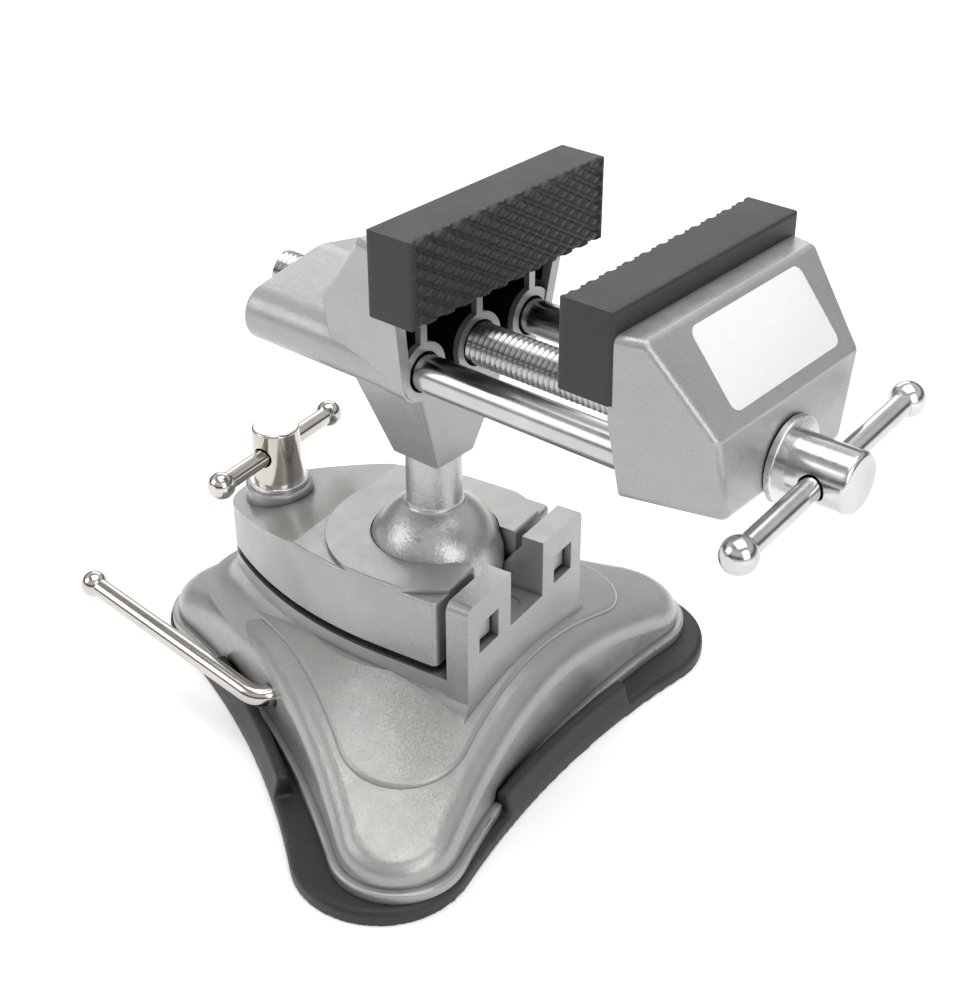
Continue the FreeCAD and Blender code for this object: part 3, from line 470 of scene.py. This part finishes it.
cast_silver = silver_paint("cast_silver_paint", (0.335, 0.33, 0.318), (0.42, 0.415, 0.40),
                           shaded_rim_rays=((shaft_start, shaft_direction, shaft_rim),))
jaw_silver = silver_paint("jaw_silver_paint", (0.345, 0.342, 0.335), (0.43, 0.427, 0.42),
                          bare_shaded_boxes=jaw_hollow_boxes)
ball_silver = ball_paint()
black_rubber = rubber()
bright_steel = metal("bright_steel", *steels, roughness=0.22, mark_height=0.004 * MM,
                     stretch=drawn_along_rod)
thread_steel = metal("thread_steel", *steels, roughness=0.22, mark_height=0.004 * MM,
                     groove_reach=thread_groove_reach)
nickel = metal("bright_nickel", (0.50, 0.475, 0.43), (0.62, 0.595, 0.55),
               roughness=0.15, mark_height=0.003 * MM)
chrome = metal("bright_chrome", (0.50, 0.50, 0.505), (0.62, 0.62, 0.62),
               roughness=0.19, mark_height=0.003 * MM)
zinc = metal("zinc_plate", (0.55, 0.56, 0.57), (0.70, 0.71, 0.72),
             roughness=0.3, mark_height=0.01 * MM)
inner_steel = metal("plain_steel", (0.30, 0.30, 0.31), (0.45, 0.45, 0.46),
                    roughness=0.4, mark_height=0.02 * MM)
white_label = label_vinyl()

finishes = {
    cast_silver: ("base_casting", "clamp_plate"),
    jaw_silver: ("fixed_jaw", "movable_jaw"),
    ball_silver: ("ball_stem",),
    black_rubber: ("suction_pad", "fixed_jaw_pad", "movable_jaw_pad"),
    bright_steel: ("guide_rod_near", "guide_rod_far", "lead_screw"),
    nickel: ("clamp_screw", "clamp_bar", "clamp_bar_ball_near", "clamp_bar_ball_far",
             "lever_rod", "lever_ball"),
    chrome: ("handle_bar", "handle_bar_ball_near", "handle_bar_ball_far"),
    zinc: ("clamp_washer", "screw_washer", "screw_clip", "lever_clip"),
    inner_steel: ("lever_cam", "lift_yoke", "pad_plate"),
}


# ---- Helpers for objects and meshes ----
def new_object(name, data):
    """An object in the scene's own collection."""
    thing = bpy.data.objects.new(name, data)
    bpy.context.scene.collection.objects.link(thing)
    return thing


def dress(mesh, material):
    mesh.materials.clear()
    mesh.materials.append(material)


def smooth_faces(mesh):
    for polygon in mesh.polygons:
        polygon.use_smooth = True


def piece_from(builder, name, material, body, smooth_angle):
    """Turn a bmesh into a piece with its material, smoothed under an angle, riding on a body."""
    mesh = bpy.data.meshes.new(name)
    bmesh.ops.recalc_face_normals(builder, faces=builder.faces)
    builder.to_mesh(mesh)
    builder.free()
    dress(mesh, material)
    piece = new_object(name, mesh)
    smooth_faces(mesh)
    mesh.set_sharp_from_angle(angle=math.radians(smooth_angle))
    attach(piece, body)
    return piece


def grid_faces(builder, rows):
    """Join rows of vertices, all of one length, with quads."""
    for lower, upper in zip(rows, rows[1:]):
        for k in range(len(lower) - 1):
            builder.faces.new((lower[k], lower[k + 1], upper[k + 1], upper[k]))


def grid_edges(rows):
    """The four edges of a grid: its first and last row, and the first and last of each row."""
    return rows[0], rows[-1], [row[0] for row in rows], [row[-1] for row in rows]


# ---- Materials of the CAD nodes ----
for finish, names in finishes.items():
    for name in names:
        dress(nodes[name].data, finish)


# ---- Rubber jaw pads with their knurled faces ----
def groove_profile(distance):
    """0 in a groove, 1 on a lozenge, by the distance from the groove's middle."""
    rise = min(1.0, max(0.0, (distance - knurl_groove) / knurl_slope))
    return rise * rise * (3 - 2 * rise)


def knurl_height(across, up):
    """Height of the knurl at a place on the face, from -depth in the grooves to 0."""
    length = math.hypot(knurl_half_width, knurl_half_height)
    pitch = 2 * knurl_half_width * knurl_half_height / length
    nearest = 1.0
    for lean in (1, -1):
        line = (across * knurl_half_height + lean * up * knurl_half_width) / length
        offset = abs((line / pitch) % 1.0 - 0.5) * pitch
        nearest = min(nearest, groove_profile(pitch / 2 - offset))
    return (nearest - 1.0) * knurl_depth


def edge_drop(distance):
    """How far a rounded edge falls back, by the distance in from that edge."""
    if distance >= pad_corner:
        return 0.0
    return pad_corner - math.sqrt(max(0.0, pad_corner ** 2 - (pad_corner - distance) ** 2))


def spaced(low, high, step):
    """Even stations from low to high, closer together in the rounded edges."""
    flat = high - low - 2 * pad_corner
    inner = round(flat / step)
    middle = [low + pad_corner + flat * k / inner for k in range(inner + 1)]
    turn = [pad_corner * (1 - math.cos(math.radians(angle))) for angle in pad_corner_angles]
    return [low + value for value in turn] + middle + [high - value for value in reversed(turn)]


def knurled_pad(name, node, body, facing):
    """A pad as a closed mesh: knurled toward the other jaw, with rounded edges all round."""
    low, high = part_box(node)
    builder = bmesh.new()
    ys = spaced(low.y, high.y, knurl_step_y)
    zs = spaced(low.z, high.z, knurl_step_z)
    front_x, back_x = (high.x, low.x) if facing > 0 else (low.x, high.x)

    def fall(y, z):
        return max(edge_drop(min(y - low.y, high.y - y)), edge_drop(min(z - low.z, high.z - z)))

    def knurl(y, z):
        inset = min(y - low.y, high.y - y)
        share = min(1.0, max(0.0, (inset - knurl_margin) / knurl_slope))
        return knurl_height(y, z - low.z) * share

    def front_vertex(y, z):
        return builder.verts.new((front_x + facing * (knurl(y, z) - fall(y, z)), y, z))

    def back_vertex(y, z):
        return builder.verts.new((back_x + facing * fall(y, z), y, z))

    front = [[front_vertex(y, z) for y in ys] for z in zs]
    back = [[back_vertex(y, z) for y in ys] for z in zs]
    grid_faces(builder, front)
    grid_faces(builder, back)
    rim_places = (front_x - facing * pad_rim, back_x + facing * pad_rim)
    for front_edge, back_edge in zip(grid_edges(front), grid_edges(back)):
        rims = [[builder.verts.new((x, vertex.co.y, vertex.co.z)) for vertex in front_edge]
                for x in rim_places]
        grid_faces(builder, [front_edge, *rims, back_edge])
    bmesh.ops.remove_doubles(builder, verts=builder.verts, dist=weld_distance)
    pad = piece_from(builder, name, black_rubber, body, pad_smooth_angle)
    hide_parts(node)


knurled_pad("fixed_pad_rubber", "fixed_jaw_pad", "head", 1)
knurled_pad("moving_pad_rubber", "movable_jaw_pad", "moving_jaw", -1)


# ---- Suction pad: the same form with a moulded, softened skin ----
def moulded_rubber(name, node, body):
    """The node's form as soft rubber, kept inside the node's box."""
    piece = new_object(name, nodes[node].data.copy())
    remesh = piece.modifiers.new("voxels", "REMESH")
    remesh.mode = "VOXEL"
    remesh.voxel_size = rubber_voxel
    soften = piece.modifiers.new("soften", "SMOOTH")
    soften.factor = rubber_soften
    soften.iterations = rubber_soften_rounds
    thin = piece.modifiers.new("thin", "DECIMATE")
    thin.ratio = rubber_thinning
    graph = bpy.context.evaluated_depsgraph_get()
    formed = bpy.data.meshes.new_from_object(piece.evaluated_get(graph))
    piece.modifiers.clear()
    piece.data = formed
    dress(formed, black_rubber)
    smooth_faces(formed)
    low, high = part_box(node)
    for vertex in formed.vertices:
        limits = zip(vertex.co, low, high)
        vertex.co = [min(top, max(bottom, value)) for value, bottom, top in limits]
    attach(piece, body)
    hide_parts(node)


moulded_rubber("suction_pad_rubber", "suction_pad", "base")


# ---- Lead screw: a cut thread, and the hub kept from the solid ----
def screw_thread(start_x, end_x):
    """Helical thread from the tip to the shoulder, with flat crests and roots."""
    builder = bmesh.new()
    steps = int((end_x - start_x) / thread_pitch * thread_segments)
    lines = []
    for share, radius in thread_profile:
        line = []
        for k in range(steps + 1):
            angle = 2 * math.pi * k / thread_segments
            x = start_x + thread_pitch * (k / thread_segments + share)
            taper = min(1.0, (x - start_x) / thread_pitch / thread_tip_turns + thread_tip_share)
            reach = min(radius, thread_crest * taper)
            place = (min(x, end_x), reach * math.sin(angle), rod_height + reach * math.cos(angle))
            line.append(builder.verts.new(place))
        lines.append(line)
    grid_faces(builder, lines)
    first, second, last = lines[0], lines[1], lines[-1]
    next_turn = first[thread_segments:]
    grid_faces(builder, [last[:len(next_turn)], next_turn])
    tip = builder.verts.new((start_x, 0.0, rod_height))
    for k in range(thread_segments):
        builder.faces.new((tip, first[k], first[k + 1]))
    builder.faces.new((tip, first[thread_segments], second[0], first[0]))
    return builder


def screw_pieces():
    low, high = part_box("lead_screw")
    builder = screw_thread(low.x, screw_shoulder)
    thread = piece_from(builder, "screw_thread", thread_steel, "screw", thread_smooth_angle)
    head = bmesh.new()
    head.from_mesh(nodes["lead_screw"].data)
    gone = [face for face in head.faces if face.calc_center_median().x < screw_shoulder]
    bmesh.ops.delete(head, geom=gone, context="FACES")
    hub = piece_from(head, "screw_hub", chrome, "screw", hub_smooth_angle)
    for piece in (thread, hub):
        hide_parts("lead_screw")


screw_pieces()


# ---- Blank label on the moving jaw's slope ----
def label_outline():
    """The label's outline with rounded corners, as y and distance down the slope."""
    corners = (
        (label_high_y - label_corner, label_end - label_corner),
        (label_low_y + label_corner, label_end - label_corner),
        (label_low_y + label_corner, label_start + label_corner),
        (label_high_y - label_corner, label_start + label_corner),
    )
    outline = []
    for quarter, (y, along) in enumerate(corners):
        for step in range(label_corner_steps + 1):
            angle = math.radians(90 * (quarter + step / label_corner_steps))
            outline.append((y + label_corner * math.cos(angle),
                            along + label_corner * math.sin(angle)))
    return outline


def blank_label():
    builder = bmesh.new()
    down = (slope_foot - slope_top).normalized()
    across = Vector((0.0, 1.0, 0.0))
    out = down.cross(across)
    middle_y = (label_high_y + label_low_y) / 2
    middle_along = (label_start + label_end) / 2
    outline = label_outline()
    layers = []
    for inset, lift in label_layers:
        layer = []
        for y, along in outline:
            inward = Vector((middle_y - y, middle_along - along)).normalized() * inset
            place = slope_top + across * (y + inward.x) + down * (along + inward.y) + out * lift
            layer.append(builder.verts.new(place))
        layers.append(layer)
    grid_faces(builder, [layer + layer[:1] for layer in layers])
    builder.faces.new(layers[-1])
    builder.faces.new(layers[0][::-1])
    piece_from(builder, "blank_label", white_label, "moving_jaw", label_smooth_angle)


blank_label()


# ---- Floor, light and camera ----
def stage_floor():
    """White floor that glows to the eye and in reflections, and keeps the object's shadow."""
    mesh = bpy.data.meshes.new("floor")
    corners = [(x * floor_half, y * floor_half, 0) for x, y in ((-1, -1), (1, -1), (1, 1), (-1, 1))]
    mesh.from_pydata(corners, [], [(0, 1, 2, 3)])
    floor = new_object("floor", mesh)
    mat, tree, shader, place = new_material("pale_floor")
    feed(tree, shader, {
        "Base Color": (0.86, 0.86, 0.86),
        "Roughness": 0.9,
        "Specular IOR Level": 0.1,
    })
    path = tree.nodes.new("ShaderNodeLightPath").outputs
    seen = maths(tree, "MAXIMUM", path["Is Camera Ray"], path["Is Glossy Ray"])
    distance = vector_maths(tree, "LENGTH", place, output="Value")
    level = spread(tree, distance, floor_glow_distances, floor_glow)
    glow = add_node(tree, "ShaderNodeEmission", {"Strength": maths(tree, "MULTIPLY", seen, level)})
    total = add_node(tree, "ShaderNodeAddShader", {0: shader.outputs[0], 1: glow.outputs[0]})
    feed(tree, tree.nodes["Material Output"], {"Surface": total.outputs[0]})
    dress(mesh, mat)


def studio_world():
    """White to the eye, plain grey as light, and a banded studio in reflections."""
    world = bpy.data.worlds.new("studio")
    bpy.context.scene.world = world
    world.use_nodes = True
    tree = world.node_tree
    place = tree.nodes.new("ShaderNodeTexCoord").outputs["Generated"]
    ramp = add_node(tree, "ShaderNodeValToRGB", {"Fac": coordinates(tree, place)["Z"]})
    elements = ramp.color_ramp.elements
    for share, _ in studio_bands[2:]:
        elements.new(share)
    for element, (share, value) in zip(elements, studio_bands):
        element.position = share
        element.color = (value, value, value, 1.0)
    path = tree.nodes.new("ShaderNodeLightPath").outputs
    plain = blend_colours(tree, path["Is Glossy Ray"], studio_grey, ramp.outputs["Color"])
    seen = blend_colours(tree, path["Is Camera Ray"], plain, studio_white)
    feed(tree, tree.nodes["Background"], {"Color": seen, "Strength": 1.0})


def aim(thing, place, direction):
    """Put a lamp or the camera at a place, facing along a direction."""
    thing.location = place
    thing.rotation_mode = "QUATERNION"
    thing.rotation_quaternion = direction.to_track_quat("-Z", "Y")


def soft_lamp(name, place, target, size, watts):
    data = bpy.data.lights.new(name, "AREA")
    data.shape = "RECTANGLE"
    data.size, data.size_y = size
    data.energy = watts
    aim(new_object(name, data), place, Vector(target) - Vector(place))


def photo_camera():
    data = bpy.data.cameras.new("photo_camera")
    data.sensor_width = sensor_mm
    data.lens = focal_px * sensor_mm / max(picture_px)
    data.clip_start = clip_near
    data.clip_end = clip_far
    camera = new_object("photo_camera", data)
    level = math.cos(camera_elevation)
    back = Vector((math.sin(camera_azimuth) * level,
                   -math.cos(camera_azimuth) * level,
                   math.sin(camera_elevation)))
    aim(camera, eye, -back)
    bpy.context.scene.camera = camera


stage_floor()
studio_world()
for lamp in soft_lamps:
    soft_lamp(*lamp)
photo_camera()

scene = bpy.context.scene
scene.view_settings.view_transform = "Standard"
